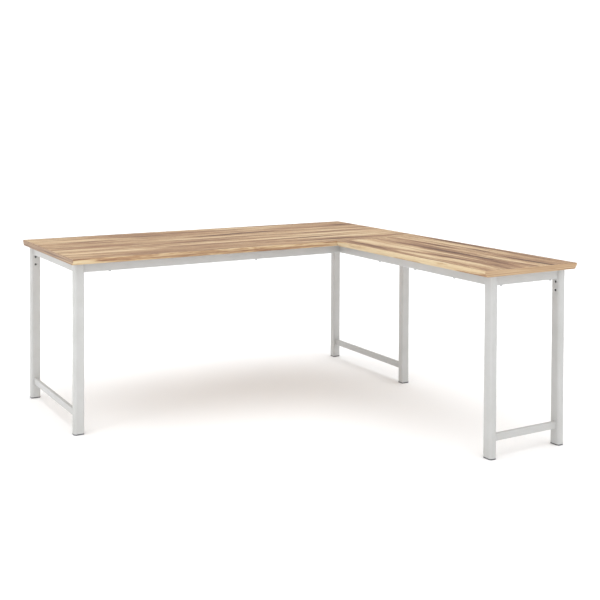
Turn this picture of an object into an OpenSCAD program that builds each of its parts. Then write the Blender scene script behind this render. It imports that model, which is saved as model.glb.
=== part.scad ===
// Corner desk: a long main top and a shorter return top on a frame of painted steel tube.
// Sizes are in millimetres. +Z is up and +X runs along the main top. The return top comes
// forward, towards -Y, at the main top's right-hand end. The origin is on the floor, in the
// middle of the desk's footprint box.

/* [Tops] */
// Length of the main top, along X
main_length = 1805; // [1500:5:2100]
// Depth of the main top, along Y
main_depth = 750; // [620:5:900]
// Width of the return top, along X
return_width = 495; // [440:5:650]
// Length of the return top, along Y
return_length = 1060; // [800:5:1300]
// Thickness of both tops
top_thickness = 25; // [22:1:32]
// Height of the working surface above the floor
desk_height = 757; // [700:1:800]
// Height of a long edge's square part, above its bevel
edge_upright = 9; // [4:1:16]
// How far the bevel runs in under a long edge
edge_bevel = 11; // [4:1:16]
// Thickness of the band on a short end
band_thickness = 1; // [0.5:0.5:2]

/* [Legs] */
// Size of a leg across its end frame
leg_deep = 45; // [42:1:60]
// Size of a leg along its end frame
leg_wide = 35; // [32:1:50]
// Radius of a leg's two corners at the outer end of its frame
leg_outer_corner = 12; // [6:0.5:12]
// Radius of a leg's two corners at the inner end of its frame
leg_inner_corner = 5.5; // [4:0.5:7]
// Wall thickness of a leg
leg_wall = 1.5; // [1:0.5:2.5]
// Gap from the main top's ends to the legs
main_end_inset = 20; // [12:1:60]
// Gap from the return top's end to the legs
return_end_inset = 15; // [12:1:60]
// Front edge of the main top to the middle of its front legs
front_leg_inset = 62.5; // [45:0.5:90]
// Back edge of the main top to the middle of its back legs
back_leg_inset = 47.5; // [35:0.5:90]
// Side edges of the return top to the middle of its legs
return_leg_inset = 65; // [45:0.5:100]
// Height of a foot cap under its leg
foot_height = 5; // [3:1:12]

/* [Rails] */
// Height of the rails under the tops
rail_height = 41; // [36:1:60]
// Thickness of the rails under the tops
rail_thick = 20; // [18:1:24]
// Corner radius of the rails and crossbars
rail_corner = 2.5; // [2:0.5:4]
// Wall thickness of the rails and crossbars
rail_wall = 1.5; // [1:0.5:1.5]
// Height of the low crossbars
crossbar_height = 30; // [20:1:40]
// Thickness of the low crossbars
crossbar_thick = 15; // [12:1:20]
// Floor to the underside of the crossbars
crossbar_rise = 68; // [40:1:200]

/* [Panel holes] */
// Diameter of the holes for a screening panel in the back legs
panel_hole = 10; // [6:0.5:11]
// Distance between the two holes of a pair
panel_hole_pitch = 35; // [25:1:60]
// Underside of the side rail to the upper hole
panel_hole_drop = 12; // [10:1:30]

/* [Fixings] */
// Shank diameter of the screws that hold the tops down
top_screw = 5; // [4:0.5:6]
// How far those screws bite into a top
top_screw_bite = 15; // [8:1:17]
// Thread diameter of the frame bolts
bolt = 6; // [5:0.5:7]
// Length of the tongues that the long rails slide onto
tongue_length = 60; // [55:1:90]
// Length of each flange of the return brackets
bracket_flange = 50; // [50:1:70]
// Thickness of the return brackets and joining plates
plate_thick = 3; // [2:0.5:4]

/* [Hidden] */

// Colours
wood_colour = "#C6A480";
band_colour = "#D9BC94";
steel_colour = "#D9D7D3";
cap_colour = "#55565A";
fixing_colour = "#8C8C8C";

// Number of sides drawn on a round shape
round_steps = 48;
// Nothing that is cut through stops flush with a face: cutters run this far past it
overshoot = 1;

// Heights
underside = desk_height - top_thickness;
rail_middle = underside - rail_height / 2;
rail_bottom = underside - rail_height;
upper_hole_z = rail_bottom - panel_hole_drop;
lower_hole_z = upper_hole_z - panel_hole_pitch;

// Middles of the legs, measured from the main top's front left corner
left_x = main_end_inset + leg_deep / 2;
right_x = main_length - left_x;
front_y = front_leg_inset;
back_y = main_depth - back_leg_inset;
return_left = main_length - return_width;
inner_x = return_left + return_leg_inset;
outer_x = main_length - return_leg_inset;
end_y = return_end_inset + leg_deep / 2 - return_length;

// Ends of the long rails
main_rail_start = left_x + leg_deep / 2;
main_rail_end = right_x - leg_deep / 2;
return_rail_start = end_y + leg_deep / 2;
main_rail_face = front_y - rail_thick / 2;
leg_front_face = front_y - leg_wide / 2;
outer_rail_gap = 1;
outer_rail_end = leg_front_face - outer_rail_gap;

// Screws that hold the tops down
main_screw_inset = 120;
side_screw_inset = 50;
main_screw_x = [main_rail_start + main_screw_inset, main_length / 2, main_rail_end - main_screw_inset];
side_screw_y = [front_y + side_screw_inset, back_y - side_screw_inset];
return_screw_y = [for (share = [0.25, 0.5, 0.75]) -share * return_length];
end_screw_x = [inner_x + side_screw_inset, outer_x - side_screw_inset];
screw_hole_clearance = 1;
top_screw_hole = top_screw + screw_hole_clearance;

// Tongues and their bolts, measured from the leg
tongue_gap = 0.5;
tongue_wall = 2;
tongue_height = rail_height - 2 * rail_wall - 2 * tongue_gap;
tongue_thick = rail_thick - 2 * rail_wall - 2 * tongue_gap;
tongue_corner = tongue_wall + 0.5;
tongue_bolts = [15, 45];

// Return brackets, measured from the corner between the two rails
bracket_height = 32;
bracket_bolts = [20, 40];

// Joining plates under the seam between the tops
joining_plate_width = 60;
joining_plate_corner = 8;
joining_plate_back = 40;
joining_plate_front = -50;
joining_screw_spread = 40;
joining_screw_y = [-35, 27];
joining_plate_inset = 95;
inner_plate_x = inner_x + joining_plate_inset;
outer_plate_x = outer_x - joining_plate_inset;
joining_screw = 4;
joining_screw_bite = 12;
joining_screw_hole = joining_screw + screw_hole_clearance;

// Fastener heads
top_screw_head = 11;
top_screw_head_height = 4.5;
bolt_head = 11;
bolt_head_height = 3.3;
bolt_reach = 11;
bolt_clearance = 0.5;
bolt_hole = bolt + bolt_clearance;
plate_cut = plate_thick + 2 * overshoot;
joining_head = 8;
joining_head_height = 2.4;
socket_share = 0.28;
socket_depth_share = 0.6;
head_edge_share = 0.35;

// Foot caps
foot_lip = 0.5;
foot_plug_height = 14;
foot_plug_gap = 0.2;

// Carries what is measured from the main top's front left corner to the desk's own frame
module placed() {
    translate([-main_length / 2, (return_length - main_depth) / 2, 0])
        children();
}

// Rectangle with round corners, centred
module round_rectangle(across, along, radius) {
    square([across - 2 * radius, along], center = true);
    square([across, along - 2 * radius], center = true);
    for (side_a = [-1, 1], side_b = [-1, 1])
        translate([side_a * (across / 2 - radius), side_b * (along / 2 - radius)])
            circle(r = radius, $fn = round_steps);
}

// Section of a rectangular tube, centred
module tube_section(across, along, radius, wall) {
    difference() {
        round_rectangle(across, along, radius);
        round_rectangle(across - 2 * wall, along - 2 * wall, radius - wall);
    }
}

// Runs a section along +X: the section's x becomes Y and its y becomes Z
module along_x(length) {
    rotate([90, 0, 90])
        linear_extrude(height = length)
            children();
}

// Runs a section along +Y: the section's x stays X and its y becomes Z
module along_y(length) {
    translate([0, length, 0])
        rotate([90, 0, 0])
            linear_extrude(height = length)
                children();
}

// Cutter for upright screw holes, one at each place, through the height given
module upright_holes(places, diameter, low, high) {
    for (place = places)
        translate([place[0], place[1], low])
            cylinder(h = high - low, d = diameter, $fn = round_steps);
}

// Places of the screws that hold the tops down, rail by rail
main_rail_screws = [for (x = main_screw_x, y = [front_y, back_y]) [x, y]];
side_rail_screws = [for (x = [left_x, right_x], y = side_screw_y) [x, y]];
return_rail_screws = [for (x = [inner_x, outer_x], y = return_screw_y) [x, y]];
return_end_screws = [for (x = end_screw_x) [x, end_y]];
joining_places = [
    for (plate = [inner_plate_x, outer_plate_x], side = [-1, 1], y = joining_screw_y)
        [plate + side * joining_screw_spread / 2, y]
];

// Section of a top: square edges above, bevels below on both long edges
module top_section(width) {
    polygon([
        [0, top_thickness],
        [0, top_thickness - edge_upright],
        [edge_bevel, 0],
        [width - edge_bevel, 0],
        [width, top_thickness - edge_upright],
        [width, top_thickness]
    ]);
}

module main_top() {
    color(wood_colour)
        placed()
            difference() {
                translate([band_thickness, 0, underside])
                    along_x(main_length - 2 * band_thickness)
                        top_section(main_depth);
                upright_holes(
                    concat(main_rail_screws, side_rail_screws),
                    top_screw, underside - overshoot, underside + top_screw_bite
                );
                upright_holes(
                    [for (place = joining_places) if (place[1] > 0) place],
                    joining_screw, underside - overshoot, underside + joining_screw_bite
                );
            }
}

module return_top() {
    color(wood_colour)
        placed()
            difference() {
                translate([return_left, band_thickness - return_length, underside])
                    along_y(return_length - band_thickness)
                        top_section(return_width);
                upright_holes(
                    concat(return_rail_screws, return_end_screws),
                    top_screw, underside - overshoot, underside + top_screw_bite
                );
                upright_holes(
                    [for (place = joining_places) if (place[1] < 0) place],
                    joining_screw, underside - overshoot, underside + joining_screw_bite
                );
            }
}

module main_edge_band(start) {
    color(band_colour)
        placed()
            translate([start, 0, underside])
                along_x(band_thickness)
                    top_section(main_depth);
}

module return_end_edge_band() {
    color(band_colour)
        placed()
            translate([return_left, -return_length, underside])
                along_y(band_thickness)
                    top_section(return_width);
}

// Outline of a leg, with its large corners at the outer end, towards -X. grow moves it outwards.
module leg_outline(grow) {
    across = leg_deep + 2 * grow;
    along = leg_wide + 2 * grow;
    outer = leg_outer_corner + grow;
    inner = leg_inner_corner + grow;
    for (side = [-1, 1]) {
        translate([outer - across / 2, side * (along / 2 - outer)])
            circle(r = outer, $fn = round_steps);
        translate([across / 2 - inner, side * (along / 2 - inner)])
            circle(r = inner, $fn = round_steps);
    }
    translate([outer - across / 2, -along / 2])
        square([across - outer - inner, along]);
    translate([-across / 2, outer - along / 2])
        square([outer, along - 2 * outer]);
    translate([across / 2 - inner, inner - along / 2])
        square([inner, along - 2 * inner]);
}

// Cutter for one panel hole, from the middle of the leg out through one wall
module panel_hole_cut() {
    cylinder(h = leg_wide / 2 + overshoot, d = panel_hole, $fn = round_steps);
}

// One leg. Turned by 0, 90 or 180, its outer end is towards -X, -Y or +X.
// The panel holes go through one wall only, on its own +Y (1) or -Y (-1) side, or 0 for none.
module leg(x, y, turn, hole_side) {
    color(steel_colour)
        placed()
            translate([x, y, 0])
                rotate([0, 0, turn])
                    difference() {
                        translate([0, 0, foot_height])
                            linear_extrude(height = underside - foot_height)
                                difference() {
                                    leg_outline(0);
                                    leg_outline(-leg_wall);
                                }
                        if (hole_side != 0)
                            for (height = [upper_hole_z, lower_hole_z])
                                translate([0, 0, height])
                                    rotate([-90 * hole_side, 0, 0])
                                        panel_hole_cut();
                    }
}

// Plastic cap under a leg, with a plug that goes up into the tube
module foot(x, y, turn) {
    color(cap_colour)
        placed()
            translate([x, y, 0])
                rotate([0, 0, turn]) {
                    linear_extrude(height = foot_height)
                        leg_outline(foot_lip);
                    linear_extrude(height = foot_height + foot_plug_height)
                        leg_outline(-leg_wall - foot_plug_gap);
                }
}

// Rail under the tops, from leg to leg along Y, with its top screw holes
module side_rail(x) {
    start = front_y + leg_wide / 2;
    color(steel_colour)
        placed()
            difference() {
                translate([x, start, rail_middle])
                    along_y(back_y - leg_wide / 2 - start)
                        tube_section(rail_thick, rail_height, rail_corner, rail_wall);
                upright_holes(
                    [for (y = side_screw_y) [x, y]],
                    top_screw_hole, rail_bottom - overshoot, underside + overshoot
                );
            }
}

module return_end_rail() {
    start = inner_x + leg_wide / 2;
    color(steel_colour)
        placed()
            difference() {
                translate([start, end_y, rail_middle])
                    along_x(outer_x - leg_wide / 2 - start)
                        tube_section(rail_thick, rail_height, rail_corner, rail_wall);
                upright_holes(
                    return_end_screws,
                    top_screw_hole, rail_bottom - overshoot, underside + overshoot
                );
            }
}

// Low bar that ties the feet of an end frame together
module side_crossbar(x) {
    start = front_y + leg_wide / 2;
    color(steel_colour)
        placed()
            translate([x, start, crossbar_rise + crossbar_height / 2])
                along_y(back_y - leg_wide / 2 - start)
                    tube_section(crossbar_thick, crossbar_height, rail_corner, rail_wall);
}

module return_crossbar() {
    start = inner_x + leg_wide / 2;
    color(steel_colour)
        placed()
            translate([start, end_y, crossbar_rise + crossbar_height / 2])
                along_x(outer_x - leg_wide / 2 - start)
                    tube_section(crossbar_thick, crossbar_height, rail_corner, rail_wall);
}

// Bolt holes through one wall of a rail along X, on the side that faces +Y (1) or -Y (-1)
module wall_holes_y(places, y, facing) {
    for (x = places)
        translate([x, y, rail_middle])
            rotate([-90 * facing, 0, 0])
                cylinder(h = rail_thick / 2 + overshoot, d = bolt_hole, $fn = round_steps);
}

// Bolt holes through one wall of a rail along Y, on the side that faces +X (1) or -X (-1)
module wall_holes_x(places, x, facing) {
    for (y = places)
        translate([x, y, rail_middle])
            rotate([0, 90 * facing, 0])
                cylinder(h = rail_thick / 2 + overshoot, d = bolt_hole, $fn = round_steps);
}

// Where the bolts sit along the main rails and along the return rails
main_tongue_bolts = concat(
    [for (step = tongue_bolts) main_rail_start + step],
    [for (step = tongue_bolts) main_rail_end - step]
);
return_tongue_bolts = [for (step = tongue_bolts) return_rail_start + step];
bracket_bolt_y = [for (step = bracket_bolts) main_rail_face - step];
inner_bracket_face = inner_x + rail_thick / 2;
outer_bracket_face = outer_x - rail_thick / 2;
bracket_bolt_x = concat(
    [for (step = bracket_bolts) inner_bracket_face + step],
    [for (step = bracket_bolts) outer_bracket_face - step]
);

// Long rail of the main top. facing is the side that its bolts are on: +1 is the back.
module main_rail(y, facing, front_bolts) {
    color(steel_colour)
        placed()
            difference() {
                translate([main_rail_start, y, rail_middle])
                    along_x(main_rail_end - main_rail_start)
                        tube_section(rail_thick, rail_height, rail_corner, rail_wall);
                wall_holes_y(main_tongue_bolts, y, facing);
                wall_holes_y(front_bolts, y, -facing);
                upright_holes(
                    [for (x = main_screw_x) [x, y]],
                    top_screw_hole, rail_bottom - overshoot, underside + overshoot
                );
            }
}

// Long rail of the return top. facing is the side that its bolts are on: +1 is towards +X.
module return_rail(x, finish, facing) {
    color(steel_colour)
        placed()
            difference() {
                translate([x, return_rail_start, rail_middle])
                    along_y(finish - return_rail_start)
                        tube_section(rail_thick, rail_height, rail_corner, rail_wall);
                wall_holes_x(concat(return_tongue_bolts, bracket_bolt_y), x, facing);
                upright_holes(
                    [for (y = return_screw_y) [x, y]],
                    top_screw_hole, rail_bottom - overshoot, underside + overshoot
                );
            }
}

// Short tube welded to a leg, which a long rail slides onto. direction is the way that it points.
// passing lists the bolts that come in from the other side, where a bracket is bolted on.
module main_tongue(x, y, direction, facing, passing) {
    start = direction > 0 ? x : x - tongue_length;
    color(steel_colour)
        placed()
            difference() {
                translate([start, y, rail_middle])
                    along_x(tongue_length)
                        tube_section(tongue_thick, tongue_height, tongue_corner, tongue_wall);
                for (step = tongue_bolts)
                    translate([x + direction * step, y, rail_middle])
                        rotate([-90 * facing, 0, 0])
                            cylinder(h = rail_thick / 2, d = bolt, $fn = round_steps);
                wall_holes_y(passing, y, -facing);
            }
}

module return_tongue(x, facing) {
    color(steel_colour)
        placed()
            difference() {
                translate([x, return_rail_start, rail_middle])
                    along_y(tongue_length)
                        tube_section(tongue_thick, tongue_height, tongue_corner, tongue_wall);
                for (y = return_tongue_bolts)
                    translate([x, y, rail_middle])
                        rotate([0, 90 * facing, 0])
                            cylinder(h = rail_thick / 2, d = bolt, $fn = round_steps);
            }
}

// Steel angle in the corner between a return rail and the main front rail.
// face is the return rail's face, and facing is the side of it that the angle is on.
module return_bracket(face, facing) {
    color(steel_colour)
        placed()
            difference() {
                translate([face, main_rail_face, rail_middle - bracket_height / 2])
                    linear_extrude(height = bracket_height)
                        polygon([
                            [0, 0],
                            [facing * bracket_flange, 0],
                            [facing * bracket_flange, -plate_thick],
                            [facing * plate_thick, -plate_thick],
                            [facing * plate_thick, -bracket_flange],
                            [0, -bracket_flange]
                        ]);
                for (step = bracket_bolts) {
                    translate([face - facing * overshoot, main_rail_face - step, rail_middle])
                        rotate([0, 90 * facing, 0])
                            cylinder(h = plate_cut, d = bolt_hole, $fn = round_steps);
                    translate([face + facing * step, main_rail_face + overshoot, rail_middle])
                        rotate([90, 0, 0])
                            cylinder(h = plate_cut, d = bolt_hole, $fn = round_steps);
                }
            }
}

module joining_plate(x) {
    plate_length = joining_plate_back - joining_plate_front;
    color(steel_colour)
        placed()
            difference() {
                translate([x, (joining_plate_back + joining_plate_front) / 2, underside - plate_thick])
                    linear_extrude(height = plate_thick)
                        round_rectangle(joining_plate_width, plate_length, joining_plate_corner);
                upright_holes(
                    joining_places,
                    joining_screw_hole, underside - plate_thick - overshoot, underside + overshoot
                );
            }
}

// Screw with its head below z = 0 and its shank above, with a six-sided socket in the head
module screw(shank, reach, head, head_height) {
    edge = head_edge_share * head_height;
    difference() {
        rotate_extrude($fn = round_steps)
            polygon([
                [0, -head_height],
                [head / 2 - edge, -head_height],
                [head / 2, -head_height + edge],
                [head / 2, 0],
                [shank / 2, 0],
                [shank / 2, reach],
                [0, reach]
            ]);
        translate([0, 0, -head_height - overshoot])
            cylinder(h = socket_depth_share * head_height + overshoot, r = socket_share * head, $fn = 6);
    }
}

module frame_bolt() {
    screw(bolt, bolt_reach, bolt_head, bolt_head_height);
}

// Bolts with their heads on the side that faces +Y (facing 1) or -Y (facing -1)
module bolts_y(places, y, facing) {
    for (x = places)
        translate([x, y, rail_middle])
            rotate([90 * facing, 0, 0])
                frame_bolt();
}

// Bolts with their heads on the side that faces +X (facing 1) or -X (facing -1)
module bolts_x(places, x, facing) {
    for (y = places)
        translate([x, y, rail_middle])
            rotate([0, -90 * facing, 0])
                frame_bolt();
}

module front_rail_bolts() {
    color(fixing_colour)
        placed()
            bolts_y(main_tongue_bolts, front_y + rail_thick / 2, 1);
}

module back_rail_bolts() {
    color(fixing_colour)
        placed()
            bolts_y(main_tongue_bolts, back_y - rail_thick / 2, -1);
}

module return_rail_bolts() {
    color(fixing_colour)
        placed() {
            bolts_x(return_tongue_bolts, inner_bracket_face, 1);
            bolts_x(return_tongue_bolts, outer_bracket_face, -1);
        }
}

module return_bracket_bolts() {
    color(fixing_colour)
        placed() {
            bolts_x(bracket_bolt_y, inner_bracket_face + plate_thick, 1);
            bolts_x(bracket_bolt_y, outer_bracket_face - plate_thick, -1);
            bolts_y(bracket_bolt_x, main_rail_face - plate_thick, -1);
        }
}

module joining_plate_screws() {
    color(fixing_colour)
        placed()
            for (place = joining_places)
                translate([place[0], place[1], underside - plate_thick])
                    screw(joining_screw, plate_thick + joining_screw_bite, joining_head, joining_head_height);
}

// Screws that go up through a rail into the top above it
module top_screws(places) {
    color(fixing_colour)
        placed()
            for (place = places)
                translate([place[0], place[1], rail_bottom])
                    screw(top_screw, rail_height + top_screw_bite, top_screw_head, top_screw_head_height);
}

main_top();
return_top();
main_edge_band(0);  // main_left_edge_band
main_edge_band(main_length - band_thickness);  // main_right_edge_band
return_end_edge_band();
leg(left_x, back_y, 0, -1);  // left_back_leg
leg(left_x, front_y, 0, 0);  // left_front_leg
leg(right_x, back_y, 180, 1);  // right_back_leg
leg(right_x, front_y, 180, 0);  // right_front_leg
leg(inner_x, end_y, 90, 0);  // return_inner_leg
leg(outer_x, end_y, 90, 1);  // return_outer_leg
foot(left_x, back_y, 0);  // left_back_foot
foot(left_x, front_y, 0);  // left_front_foot
foot(right_x, back_y, 180);  // right_back_foot
foot(right_x, front_y, 180);  // right_front_foot
foot(inner_x, end_y, 90);  // return_inner_foot
foot(outer_x, end_y, 90);  // return_outer_foot
side_rail(left_x);  // left_side_rail
side_rail(right_x);  // right_side_rail
return_end_rail();
side_crossbar(left_x);  // left_crossbar
side_crossbar(right_x);  // right_crossbar
return_crossbar();
main_rail(front_y, 1, bracket_bolt_x);  // main_front_rail
main_rail(back_y, -1, []);  // main_back_rail
return_rail(inner_x, main_rail_face, 1);  // return_inner_rail
return_rail(outer_x, outer_rail_end, -1);  // return_outer_rail
main_tongue(main_rail_start, front_y, 1, 1, []);  // left_front_tongue
main_tongue(main_rail_start, back_y, 1, -1, []);  // left_back_tongue
main_tongue(main_rail_end, front_y, -1, 1, bracket_bolt_x);  // right_front_tongue
main_tongue(main_rail_end, back_y, -1, -1, []);  // right_back_tongue
return_tongue(inner_x, 1);  // return_inner_tongue
return_tongue(outer_x, -1);  // return_outer_tongue
return_bracket(inner_bracket_face, 1);  // return_inner_bracket
return_bracket(outer_bracket_face, -1);  // return_outer_bracket
joining_plate(inner_plate_x);  // inner_joining_plate
joining_plate(outer_plate_x);  // outer_joining_plate
front_rail_bolts();
back_rail_bolts();
return_rail_bolts();
return_bracket_bolts();
joining_plate_screws();
top_screws(main_rail_screws);  // main_rail_top_screws
top_screws(concat(side_rail_screws, return_end_screws));  // side_rail_top_screws
top_screws(return_rail_screws);  // return_rail_top_screws
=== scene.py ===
"""Corner desk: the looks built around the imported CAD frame.

Lengths are in metres in the CAD frame: +Z up, +X along the main top, the return top towards -Y.
The tops, edge bands and foot caps are new meshes that stand for their plain CAD solids, weld
beads are added where the end frames are welded, and every other piece is its own CAD node.
"""

import math

import bpy
import numpy as np
from mathutils import Euler, Matrix, Vector


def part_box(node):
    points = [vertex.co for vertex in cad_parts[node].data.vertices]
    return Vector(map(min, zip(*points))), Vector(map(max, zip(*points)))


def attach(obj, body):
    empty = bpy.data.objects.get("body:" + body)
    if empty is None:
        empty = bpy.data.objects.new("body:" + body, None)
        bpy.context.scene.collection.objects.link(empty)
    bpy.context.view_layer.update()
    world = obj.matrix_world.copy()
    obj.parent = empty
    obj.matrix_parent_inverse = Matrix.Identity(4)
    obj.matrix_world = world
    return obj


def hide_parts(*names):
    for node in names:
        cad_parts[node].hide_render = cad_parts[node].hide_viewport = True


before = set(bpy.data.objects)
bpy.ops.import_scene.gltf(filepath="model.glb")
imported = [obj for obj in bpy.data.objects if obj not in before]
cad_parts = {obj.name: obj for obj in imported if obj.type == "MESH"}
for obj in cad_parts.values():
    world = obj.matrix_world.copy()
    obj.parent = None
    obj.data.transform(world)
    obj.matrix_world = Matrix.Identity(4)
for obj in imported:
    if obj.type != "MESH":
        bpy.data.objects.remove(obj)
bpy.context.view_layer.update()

MM = 0.001
LEG_OUTER_CORNER = 12 * MM
LEG_INNER_CORNER = 5.5 * MM


# ---------------------------------------------------------------- meshes

def make_piece(name, points, faces, material, slot, *replaced):
    """Puts one closed mesh into the scene as a piece that rides on the desk."""
    mesh = bpy.data.meshes.new(name)
    mesh.from_pydata(points.tolist(), [], faces)
    mesh.shade_smooth()
    mesh.set_sharp_from_angle(angle=math.radians(40))
    mesh.materials.append(material)
    piece = bpy.data.objects.new(name, mesh)
    bpy.context.scene.collection.objects.link(piece)
    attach(piece, "root")
    if replaced:
        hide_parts(*replaced)
    return piece


def skin(rings, closed_path=False):
    """Faces over a stack of rings of equal length, shape (rings, points, 3).

    Point j of ring i is joined to point j + 1 and to the same two points of ring i + 1. The
    first and last rings are closed with one flat face each, or joined when the path is closed.
    """
    count, around = rings.shape[:2]
    steps = count if closed_path else count - 1
    i, j = np.meshgrid(np.arange(steps), np.arange(around), indexing="ij")
    after, beside = (i + 1) % count, (j + 1) % around
    corners = [i * around + j, i * around + beside, after * around + beside, after * around + j]
    faces = np.stack(corners, axis=-1).reshape(-1, 4).tolist()
    if not closed_path:
        faces.append(list(range(around))[::-1])
        faces.append(list(range((count - 1) * around, count * around)))
    return rings.reshape(-1, 3), faces


def eased_outline(corners, ease, steps=5, support=0.4 * MM):
    """A polygon with soft corners, anticlockwise.

    Each corner becomes the quadratic curve (1-t)^2 A + 2t(1-t) C + t^2 B, where C is the corner
    and A and B are the points `ease` before and after it. One more point `support` outside A
    and B keeps the smooth shading of the curve off the flat faces beside it.
    """
    corners = np.asarray(corners, float)
    ease = np.broadcast_to(ease, len(corners))[:, None, None]
    towards_before = np.roll(corners, 1, axis=0) - corners
    towards_after = np.roll(corners, -1, axis=0) - corners
    towards_before /= np.linalg.norm(towards_before, axis=1, keepdims=True)
    towards_after /= np.linalg.norm(towards_after, axis=1, keepdims=True)
    t = np.linspace(0, 1, steps)[None, :, None]
    corner = corners[:, None, :]
    start = corner + ease * towards_before[:, None, :]
    end = corner + ease * towards_after[:, None, :]
    curve = (1 - t) ** 2 * start + 2 * t * (1 - t) * corner + t ** 2 * end
    lead_in = start + support * towards_before[:, None, :]
    lead_out = end + support * towards_after[:, None, :]
    return np.concatenate([lead_in, curve, lead_out], axis=1).reshape(-1, 2)


def drawn_in(outline, inset):
    """The outline moved inwards by `inset` along the normals of its points."""
    along = np.roll(outline, -1, axis=0) - np.roll(outline, 1, axis=0)
    along /= np.linalg.norm(along, axis=1, keepdims=True)
    inward = np.stack([-along[:, 1], along[:, 0]], axis=1)
    return outline + inset * inward


def top_outline(low, high):
    """Section of a top from `low` to `high` across it: upright edges above, bevels below."""
    upright, bevel = 9 * MM, 11 * MM
    shoulder = high[1] - upright
    corners = [
        (low[0] + bevel, low[1]),
        (high[0] - bevel, low[1]),
        (high[0], shoulder),
        (high[0], high[1]),
        (low[0], high[1]),
        (low[0], shoulder),
    ]
    soft, crisp = 2.5 * MM, 1.2 * MM
    return eased_outline(corners, [soft, soft, soft, crisp, crisp, soft])


def carried(outline, stations, insets, axis):
    """Rings of an outline carried straight along an axis.

    Ring i stands at stations[i] and is drawn in by insets[i]. The outline's own directions are
    (Y, Z) when the path runs along X, and (X, Z) when it runs along Y.
    """
    rings = np.empty((len(stations), len(outline), 3))
    for ring, station, inset in zip(rings, stations, insets):
        ring[:, 1 - axis], ring[:, 2] = drawn_in(outline, inset).T
        ring[:, axis] = station
    return rings if axis == 0 else rings[:, ::-1]


def lay_board(name, node, axis, ease_start, ease_end, material, slot):
    """A board or band in place of its CAD node, its two ends eased by the given amounts."""
    low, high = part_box(node)
    across = 1 - axis
    outline = top_outline((low[across], low[2]), (high[across], high[2]))
    start, end = low[axis], high[axis]
    shares = np.array([1, 0.3, 0])
    stations = np.concatenate([
        start + ease_start * (1 - shares),
        end - ease_end * (1 - shares[::-1]),
    ])
    insets = np.concatenate([ease_start * shares, ease_end * shares[::-1]])
    rings = carried(outline, stations, insets, axis)
    return make_piece(name, *skin(rings), material, slot, node)


def round_rectangle(across, along, radii, steps=7):
    """Centred rectangle with round corners of true radii, anticlockwise from (+, +).

    Each quarter circle is centre + radius * (cos a, sin a), turned by 90 degrees a corner.
    """
    quarter = np.linspace(0, math.pi / 2, steps)
    angles = (quarter[None, :] + np.arange(4)[:, None] * math.pi / 2)[..., None]
    signs = np.array([(1, 1), (-1, 1), (-1, -1), (1, -1)])[:, None, :]
    radii = np.broadcast_to(radii, 4)[:, None, None]
    centres = signs * (np.array([across, along]) / 2 - radii)
    return (centres + radii * np.concatenate([np.cos(angles), np.sin(angles)], axis=2)).reshape(-1, 2)


def fit_foot(leg, material):
    """Moulded cap under a leg: a lip round the tube's end and a plug that goes up inside it.

    The section is the leg's, with its large corners at the outer end of the frame, grown or
    shrunk by a given amount at each height.
    """
    node = leg.replace("_leg", "_foot")
    low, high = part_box(leg)
    middle = (low + high) / 2
    size = high - low
    outer_end = {"left": (-1, 0), "right": (1, 0), "return": (0, -1)}[leg.split("_")[0]]
    signs = np.array([(1, 1), (-1, 1), (-1, -1), (1, -1)])
    corners = np.where(signs @ outer_end > 0, LEG_OUTER_CORNER, LEG_INNER_CORNER)
    # Height above the floor and growth beyond the leg's face, both in millimetres
    shape = np.array([
        (0.5, -9.0), (0.5, -5.0), (0.0, -4.4), (0.0, -1.3), (0.3, -0.4), (1.1, 0.35), (1.6, 0.5),
        (3.9, 0.5), (4.6, 0.35), (4.95, 0.0), (5.0, -0.6), (5.0, -1.7), (17.2, -1.9), (19.0, -3.2),
    ]) * MM
    rings = np.empty((len(shape), 28, 3))
    for ring, (height, growth) in zip(rings, shape):
        radii = np.maximum(corners + growth, 1.5 * MM)
        outline = round_rectangle(size.x + 2 * growth, size.y + 2 * growth, radii)
        ring[:, :2] = outline + np.array(middle[:2])
        ring[:, 2] = height
    return make_piece(node + "_cap", *skin(rings), material, "cap_plastic", node)


def weld_bead(across, along, centre, normal_axis, up_axis):
    """One fillet weld round the end of a rectangular tube where it meets a leg.

    A small circle is carried round the tube's outline, at even steps along its length s. Its
    radius is 1.7 mm * (1 + 0.14 |sin(pi s / 3.2 mm)|), the overlapping ripples of the pool.
    """
    outline = round_rectangle(across, along, 2.5 * MM)
    loop = np.vstack([outline, outline[:1]])
    travelled = np.concatenate([[0], np.cumsum(np.linalg.norm(np.diff(loop, axis=0), axis=1))])
    even = np.linspace(0, travelled[-1], 120, endpoint=False)
    path = np.stack([np.interp(even, travelled, loop[:, k]) for k in (0, 1)], axis=1)
    ahead = np.roll(path, -1, axis=0) - np.roll(path, 1, axis=0)
    outward = np.stack([ahead[:, 1], -ahead[:, 0]], axis=1)
    outward /= np.linalg.norm(outward, axis=1, keepdims=True)
    radius = 1.7 * MM * (1 + 0.14 * np.abs(np.sin(math.pi * even / (3.2 * MM))))
    around = np.linspace(0, 2 * math.pi, 8, endpoint=False)
    out = radius[:, None] * np.cos(around)
    rings = np.zeros((len(path), len(around), 3))
    rings[..., 3 - normal_axis - up_axis] = path[:, None, 0] + out * outward[:, None, 0]
    rings[..., up_axis] = path[:, None, 1] + out * outward[:, None, 1]
    rings[..., normal_axis] = radius[:, None] * np.sin(around)
    return rings + np.array(centre)


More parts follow.
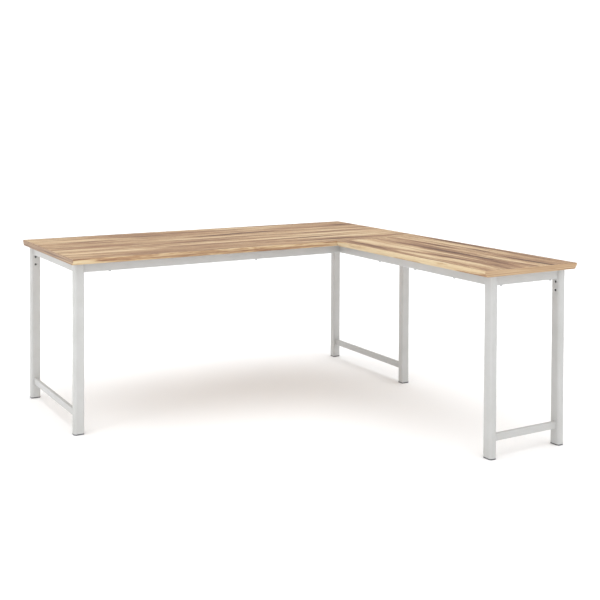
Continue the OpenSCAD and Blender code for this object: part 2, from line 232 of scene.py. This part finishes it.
def weld_frame(name, bars, axis, material):
    """The welds of one end frame: a bead at both ends of each of its bars."""
    points, faces, used = [], [], 0
    for bar in bars:
        low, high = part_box(bar)
        middle = (low + high) / 2
        size = high - low
        for end in (low[axis], high[axis]):
            centre = middle.copy()
            centre[axis] = end
            rings = weld_bead(size[1 - axis], size[2], centre, axis, 2)
            bead_points, bead_faces = skin(rings if axis else rings[:, ::-1], closed_path=True)
            points.append(bead_points)
            faces += [[index + used for index in face] for face in bead_faces]
            used += len(bead_points)
    return make_piece(name, np.vstack(points), faces, material, "powder_coat")


# ---------------------------------------------------------------- materials

def linear(code):
    """An sRGB hex colour as linear RGBA."""
    value = np.array([int(code[k:k + 2], 16) for k in (1, 3, 5)]) / 255
    value = np.where(value <= 0.04045, value / 12.92, ((value + 0.055) / 1.055) ** 2.4)
    return (*value.tolist(), 1.0)


def add(tree, kind, inputs=(), stops=(), **settings):
    """Adds a node: its settings, its colour stops, and its inputs as values or links."""
    node = tree.nodes.new("ShaderNode" + kind)
    for key, value in settings.items():
        setattr(node, key, value)
    for key, value in dict(inputs).items():
        if isinstance(value, bpy.types.NodeSocket):
            tree.links.new(value, node.inputs[key])
        else:
            node.inputs[key].default_value = value
    if stops:
        ramp = node.color_ramp.elements
        while len(ramp) < len(stops):
            ramp.new(0.5)
        for element, (position, colour) in zip(ramp, stops):
            element.position = position
            element.color = linear(colour)
    return node


def start_material(name, roughness=0.5, metallic=0.0):
    """A material with its shader and the object coordinates it is drawn on."""
    material = bpy.data.materials.new(name)
    material.use_nodes = True
    tree = material.node_tree
    tree.nodes.clear()
    shader = add(tree, "BsdfPrincipled", {"Roughness": roughness, "Metallic": metallic})
    add(tree, "OutputMaterial", {"Surface": shader.outputs[0]})
    place = add(tree, "TexCoord").outputs["Object"]
    return material, tree, shader, place


def powder_coated_steel():
    """Polyester powder coat on steel tube, baked: a light grey with a satin sheen.

    The film levels into a faint orange peel and its thickness drifts a little along a tube.
    Real orange peel is 1.5 to 3 mm wide; it is drawn at 5 mm so that it shows at all.
    """
    material, tree, shader, place = start_material("powder_coated_steel")
    drift = add(tree, "TexNoise", {"Vector": place, "Scale": 1 / (70 * MM), "Detail": 2.0})
    tone = add(tree, "ValToRGB", {0: drift.outputs[0]},
               stops=[(0.30, "#BCBCBB"), (0.70, "#B7B7B5")])
    gloss = add(tree, "MapRange", {0: drift.outputs[0], 3: 0.28, 4: 0.36})
    peel = add(tree, "TexNoise", {"Vector": place, "Scale": 1 / (5 * MM), "Detail": 1.0})
    bump = add(tree, "Bump", {"Height": peel.outputs[0], "Strength": 0.25, "Distance": 0.1 * MM})
    # Painted shade: points enclosed within 60 mm, such as the insides of the tubes behind their holes,
    # are darkened towards near-black by how enclosed they are
    painted_shade = add(tree, "AmbientOcclusion", {"Distance": 60 * MM}, samples=8)
    painted_shade = add(tree, "MapRange", {0: painted_shade.outputs["AO"], 1: 0.08, 2: 0.22})
    colour = add(tree, "Mix", {
        "Factor": painted_shade.outputs[0], "A": linear("#2C2B2A"), "B": tone.outputs[0]},
        data_type="RGBA")
    tree.links.new(colour.outputs["Result"], shader.inputs["Base Color"])
    tree.links.new(gloss.outputs[0], shader.inputs["Roughness"])
    tree.links.new(bump.outputs[0], shader.inputs["Normal"])
    return material


def wood_laminate(name, origin, turn, figure, drift):
    """Melamine laminate printed with walnut-like wood, pressed on chipboard: satin, faint pores.

    `origin` and `turn` bring the board to its own frame, x along the grain and y across it.
    `figure` lists soft patches of light sapwood and brown heartwood, in millimetres in that
    frame: middle along, middle across, half length, half width, slope in degrees, tone.
    `drift` is the angle of the noise streaks to the board, in radians.
    """
    material, tree, shader, place = start_material(name, roughness=0.5)
    shader.inputs["Specular IOR Level"].default_value = 0.35
    board = add(tree, "Mapping", {
        "Vector": place, "Location": origin, "Rotation": (0, 0, turn)}).outputs[0]

    # The grain wanders: a slow wave of about 15 mm in 450 mm, and a feathering of 4 mm
    slow = add(tree, "Mapping", {"Vector": board, "Scale": (1 / 0.45, 1 / 0.25, 1 / 0.25)})
    slow = add(tree, "TexNoise", {"Vector": slow.outputs[0], "Scale": 1.0, "Detail": 1.0})
    wander = add(tree, "VectorMath", {0: slow.outputs["Color"], 1: (-0.5, -0.5, -0.5)},
                 operation="ADD")
    wander = add(tree, "VectorMath", {
        0: wander.outputs[0], 1: (0.0, 40 * MM, 0.0), 2: board}, operation="MULTIPLY_ADD")
    fray = add(tree, "Mapping", {"Vector": board, "Scale": (1 / 0.11, 1 / 0.006, 1 / 0.006)})
    fray = add(tree, "TexNoise", {"Vector": fray.outputs[0], "Scale": 1.0, "Detail": 2.0})
    feather = add(tree, "VectorMath", {0: fray.outputs["Color"], 1: (-0.5, -0.5, -0.5)},
                  operation="ADD")
    grain = add(tree, "VectorMath", {
        0: feather.outputs[0], 1: (60 * MM, 18 * MM, 18 * MM), 2: wander.outputs[0]},
        operation="MULTIPLY_ADD").outputs[0]

    # Streaks at five widths: how long and how wide one is in metres, and how much it counts
    tone = 0.5
    for long, wide, detail, weight in (
        (1.10, 0.075, 1.0, 0.45), (0.80, 0.026, 2.0, 0.90), (0.60, 0.011, 2.0, 1.10),
        (0.30, 0.0045, 1.0, 0.60), (0.09, 0.0022, 1.0, 0.25),
    ):
        shrunk = add(tree, "Mapping", {
            "Vector": grain, "Rotation": (0, 0, drift), "Scale": (1 / long, 1 / wide, 1 / wide)})
        streak = add(tree, "TexNoise", {
            "Vector": shrunk.outputs[0], "Scale": 1.0, "Detail": detail})
        centred = add(tree, "Math", {0: streak.outputs[0], 1: -0.5}, operation="ADD")
        tone = add(tree, "Math", {0: centred.outputs[0], 1: weight, 2: tone},
                   operation="MULTIPLY_ADD").outputs[0]

    for along, across, half_length, half_width, slope, strength in figure:
        patch = add(tree, "Mapping", {
            "Vector": grain,
            "Location": (along * MM, across * MM, 0),
            "Rotation": (0, 0, math.radians(slope)),
            "Scale": (half_length * MM, half_width * MM, 0.2),
        }, vector_type="TEXTURE")
        patch = add(tree, "TexGradient", {0: patch.outputs[0]}, gradient_type="SPHERICAL")
        patch = add(tree, "MapRange", {0: patch.outputs[1], 2: 0.75, 4: strength},
                    interpolation_type="SMOOTHSTEP")
        tone = add(tree, "Math", {0: tone, 1: patch.outputs[0]}, operation="ADD").outputs[0]

    colour = add(tree, "ValToRGB", {0: tone}, stops=[
        (0.08, "#573C2A"), (0.26, "#7F5D42"), (0.41, "#99775A"), (0.54, "#B0906D"),
        (0.68, "#C8AF8A"), (0.90, "#D4C09C"),
    ]).outputs[0]

    # A pinkish tint in patches, strongest on the brown
    blush = add(tree, "Mapping", {
        "Vector": board, "Location": (3, 1, 0), "Scale": (1 / 0.40, 1 / 0.05, 1 / 0.05)})
    blush = add(tree, "TexNoise", {"Vector": blush.outputs[0], "Scale": 1.0, "Detail": 1.0})
    blush = add(tree, "MapRange", {0: blush.outputs[0], 1: 0.5, 2: 0.8, 4: 0.3})
    colour = add(tree, "Mix", {
        "Factor": blush.outputs[0], "A": colour, "B": linear("#D9A585")},
        data_type="RGBA", blend_type="MULTIPLY")
    tree.links.new(colour.outputs["Result"], shader.inputs["Base Color"])
    return material


def edge_banding(name, axis, stops):
    """Melamine edging printed to match the tops, ironed on: streaks run along the band.

    `axis` is the direction of the band, and `stops` are its colours from dark to light.
    """
    material, tree, shader, place = start_material(name, roughness=0.45)
    scale = [1 / 0.004] * 3
    scale[axis] = 1 / 0.35
    grain = add(tree, "Mapping", {"Vector": place, "Scale": scale})
    streak = add(tree, "TexNoise", {"Vector": grain.outputs[0], "Scale": 1.0, "Detail": 3.0})
    colour = add(tree, "ValToRGB", {0: streak.outputs[0]}, stops=stops)
    tree.links.new(colour.outputs[0], shader.inputs["Base Color"])
    return material


def moulded_polypropylene():
    """Injection-moulded polypropylene, dark grey: matte, with the fine grain of an eroded mould."""
    material, tree, shader, place = start_material("moulded_polypropylene", roughness=0.55)
    grain = add(tree, "TexNoise", {"Vector": place, "Scale": 1 / (1.2 * MM), "Detail": 2.0})
    colour = add(tree, "ValToRGB", {0: grain.outputs[0]}, stops=[
        (0.3, "#4C4D50"), (0.7, "#5B5C5F")])
    bump = add(tree, "Bump", {"Height": grain.outputs[0], "Strength": 0.3, "Distance": 0.1 * MM})
    tree.links.new(colour.outputs[0], shader.inputs["Base Color"])
    tree.links.new(bump.outputs[0], shader.inputs["Normal"])
    return material


def zinc_plated_steel():
    """Zinc-plated steel of screws and bolts: bright, slightly blue, cloudy from the bath."""
    material, tree, shader, place = start_material("zinc_plated_steel", metallic=1.0)
    cloud = add(tree, "TexVoronoi", {"Vector": place, "Scale": 1 / (2.5 * MM)})
    colour = add(tree, "ValToRGB", {0: cloud.outputs["Distance"]}, stops=[
        (0.1, "#A6A9AB"), (0.7, "#8E9194")])
    gloss = add(tree, "MapRange", {0: cloud.outputs["Distance"], 3: 0.28, 4: 0.42})
    tree.links.new(colour.outputs[0], shader.inputs["Base Color"])
    tree.links.new(gloss.outputs[0], shader.inputs["Roughness"])
    return material


main_low, main_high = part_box("main_top")
return_low, return_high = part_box("return_top")

MAIN_FIGURE = [
    # light sapwood
    (200, 165, 420, 24, 2, 0.35), (900, 232, 560, 34, 2, 0.28), (1420, 290, 380, 30, 1, 0.25),
    (1520, 165, 420, 22, 1, 0.33), (180, 275, 330, 28, -1, 0.25), (900, 408, 460, 30, 1, 0.25),
    (1500, 415, 330, 28, 1, 0.15), (220, 600, 220, 40, 0, 0.20), (1220, 610, 200, 30, 4, 0.15),
    # brown heartwood
    (180, 363, 370, 28, -1, -0.28), (740, 305, 340, 32, 2, -0.25), (1500, 363, 360, 30, 0, -0.25),
    (1020, 492, 340, 20, 4, -1.10), (540, 610, 300, 28, -2, -0.30), (260, 520, 180, 17, 0, -0.28),
    (280, 60, 560, 42, 0, -0.10), (1340, 92, 330, 28, -2, -0.38), (150, 215, 320, 15, 1, -0.28),
    (1280, 205, 380, 20, 1, -0.20), (1740, 600, 120, 40, 0, -0.30), (900, 640, 280, 60, 0, -0.15),
    (900, 752, 1500, 10, 0, -0.50),
]
RETURN_FIGURE = [
    # light sapwood
    (190, 128, 480, 42, 1, 0.33), (520, 182, 470, 26, 0, 0.33), (700, 80, 480, 36, 4, 0.35),
    (320, 415, 380, 17, 0, 0.28), (900, 302, 260, 24, 0, 0.18), (530, 0, 900, 13, 0, 0.38),
    # brown heartwood
    (160, 50, 380, 46, 1, -0.25), (760, 133, 480, 18, 4, -0.30),
    (450, 232, 700, 46, 1, -0.28), (775, 248, 100, 18, 2, -0.33), (900, 222, 170, 22, -1, -0.18),
    (940, 352, 260, 18, 1, -0.43), (580, 388, 100, 20, 1, -0.30), (500, 468, 760, 18, 0, -0.33),
    (320, 335, 240, 20, 1, -0.20), (530, 497, 1100, 8, 0, -0.46),
]

steel = powder_coated_steel()
main_wood = wood_laminate(
    "wood_laminate_main", (-main_low.x, -main_low.y, -main_high.z), 0, MAIN_FIGURE, math.radians(-1.5))
return_wood = wood_laminate(
    "wood_laminate_return", (return_high.y, -return_low.x, -return_high.z), math.pi / 2,
    RETURN_FIGURE, math.radians(-1.5))
# One edging drawn as two copies: the return's end band gets lighter colours, painted light for the
# light falling on its face, and the main top's end bands get darker ones, painted shade
main_band_shaded = edge_banding("edge_banding_main_shaded", 1, [
    (0.34, "#553B2A"), (0.44, "#84654A"), (0.54, "#937456"), (0.68, "#B09472")])
return_band_lit = edge_banding("edge_banding_return_lit", 0, [
    (0.30, "#8E6A4A"), (0.48, "#AE8E6C"), (0.70, "#C4A985")])
cap_plastic = moulded_polypropylene()
zinc = zinc_plated_steel()

# ---------------------------------------------------------------- the desk

ease = 0.4 * MM
lay_board("main_top_board", "main_top", 0, 0, 0, main_wood, "wood_laminate")
lay_board("return_top_board", "return_top", 1, 0, ease, return_wood, "wood_laminate")
lay_board("main_left_band", "main_left_edge_band", 0, ease, 0, main_band_shaded, "edge_band")
lay_board("main_right_band", "main_right_edge_band", 0, 0, ease, main_band_shaded, "edge_band")
lay_board("return_end_band", "return_end_edge_band", 1, ease, 0, return_band_lit, "edge_band")

for leg_name in sorted(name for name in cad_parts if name.endswith("_leg")):
    fit_foot(leg_name, cap_plastic)

weld_frame("left_frame_welds", ("left_side_rail", "left_crossbar"), 1, steel)
weld_frame("right_frame_welds", ("right_side_rail", "right_crossbar"), 1, steel)
weld_frame("return_frame_welds", ("return_end_rail", "return_crossbar"), 0, steel)

for name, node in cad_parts.items():
    finish = zinc if name.endswith(("_bolts", "_screws")) else steel
    node.data.materials.clear()
    node.data.materials.append(finish)

# ---------------------------------------------------------------- floor, light and camera

scene = bpy.context.scene
scene.view_settings.view_transform = "Standard"

floor_material, _, floor_shader, _ = start_material("studio_floor", 0.9)
floor_shader.inputs["Base Color"].default_value = (0.97, 0.97, 0.97, 1)
floor_shader.inputs["Specular IOR Level"].default_value = 0.0
reach = 60.0
floor_mesh = bpy.data.meshes.new("studio_floor")
floor_mesh.from_pydata(
    [(-reach, -reach, 0), (reach, -reach, 0), (reach, reach, 0), (-reach, reach, 0)],
    [], [(0, 1, 2, 3)])
floor_mesh.materials.append(floor_material)
floor = bpy.data.objects.new("studio_floor", floor_mesh)
scene.collection.objects.link(floor)

# A large soft light overhead, weaker fill from the front and the left, and a white sweep that
# fades out above the horizon. Heights are sines of the elevation.
SWEEP_FADE_START = 0.14
SWEEP_FADE_END = 0.22
SWEEP_RADIANCE = 1.08
FILL = (((0, 0, 1), 2.45), ((0, -1, 0), 0.70), ((-1, 0, 0), 0.20))
world = bpy.data.worlds.new("studio")
world.use_nodes = True
world_tree = world.node_tree
direction = add(world_tree, "TexCoord").outputs["Generated"]
height = add(world_tree, "SeparateXYZ", {0: direction}).outputs[2]
radiance = add(world_tree, "MapRange", {
    0: height, 1: SWEEP_FADE_START, 2: SWEEP_FADE_END, 3: SWEEP_RADIANCE, 4: 0.0},
    interpolation_type="SMOOTHSTEP").outputs[0]
for towards, strength in FILL:
    share = add(world_tree, "VectorMath", {0: direction, 1: towards}, operation="DOT_PRODUCT")
    share = add(world_tree, "Math", {0: share.outputs["Value"], 1: 0.0}, operation="MAXIMUM")
    share = add(world_tree, "Math", {0: share.outputs[0], 1: 2.0}, operation="POWER")
    radiance = add(world_tree, "Math", {0: share.outputs[0], 1: strength, 2: radiance},
                   operation="MULTIPLY_ADD").outputs[0]
background = world_tree.nodes["Background"]
background.inputs[0].default_value = (1, 1, 1, 1)
world_tree.links.new(radiance, background.inputs[1])
scene.world = world

# A tall soft box at the left, which brightens the round corners of the legs a little
lamp = bpy.data.lights.new("left_soft_box", "AREA")
lamp.shape = "RECTANGLE"
lamp.size, lamp.size_y = 0.9, 2.2
lamp_radiance = 4.0
lamp.energy = lamp_radiance * math.pi * lamp.size * lamp.size_y
soft_box = bpy.data.objects.new("left_soft_box", lamp)
soft_box.location = (-4.2, -1.0, 1.25)
aim = Vector((-0.6, 0.2, 0.4)) - soft_box.location
soft_box.rotation_euler = aim.to_track_quat("-Z", "Y").to_euler()
soft_box.visible_camera = False
scene.collection.objects.link(soft_box)

camera_data = bpy.data.cameras.new("camera")
camera_data.sensor_width = 36
camera_data.lens = 60.693
camera_data.shift_x = 0.04
camera_data.shift_y = -0.27
camera = bpy.data.objects.new("camera", camera_data)
camera.location = (-2.2479, -3.9150, 1.3727)
yaw, tilt, roll = math.radians(29.6545), math.radians(1.4309), math.radians(0.2129)
facing = Euler((math.pi / 2 - tilt, 0, -yaw)).to_matrix() @ Matrix.Rotation(roll, 3, "Z")
camera.rotation_euler = facing.to_euler()
scene.collection.objects.link(camera)
scene.camera = camera
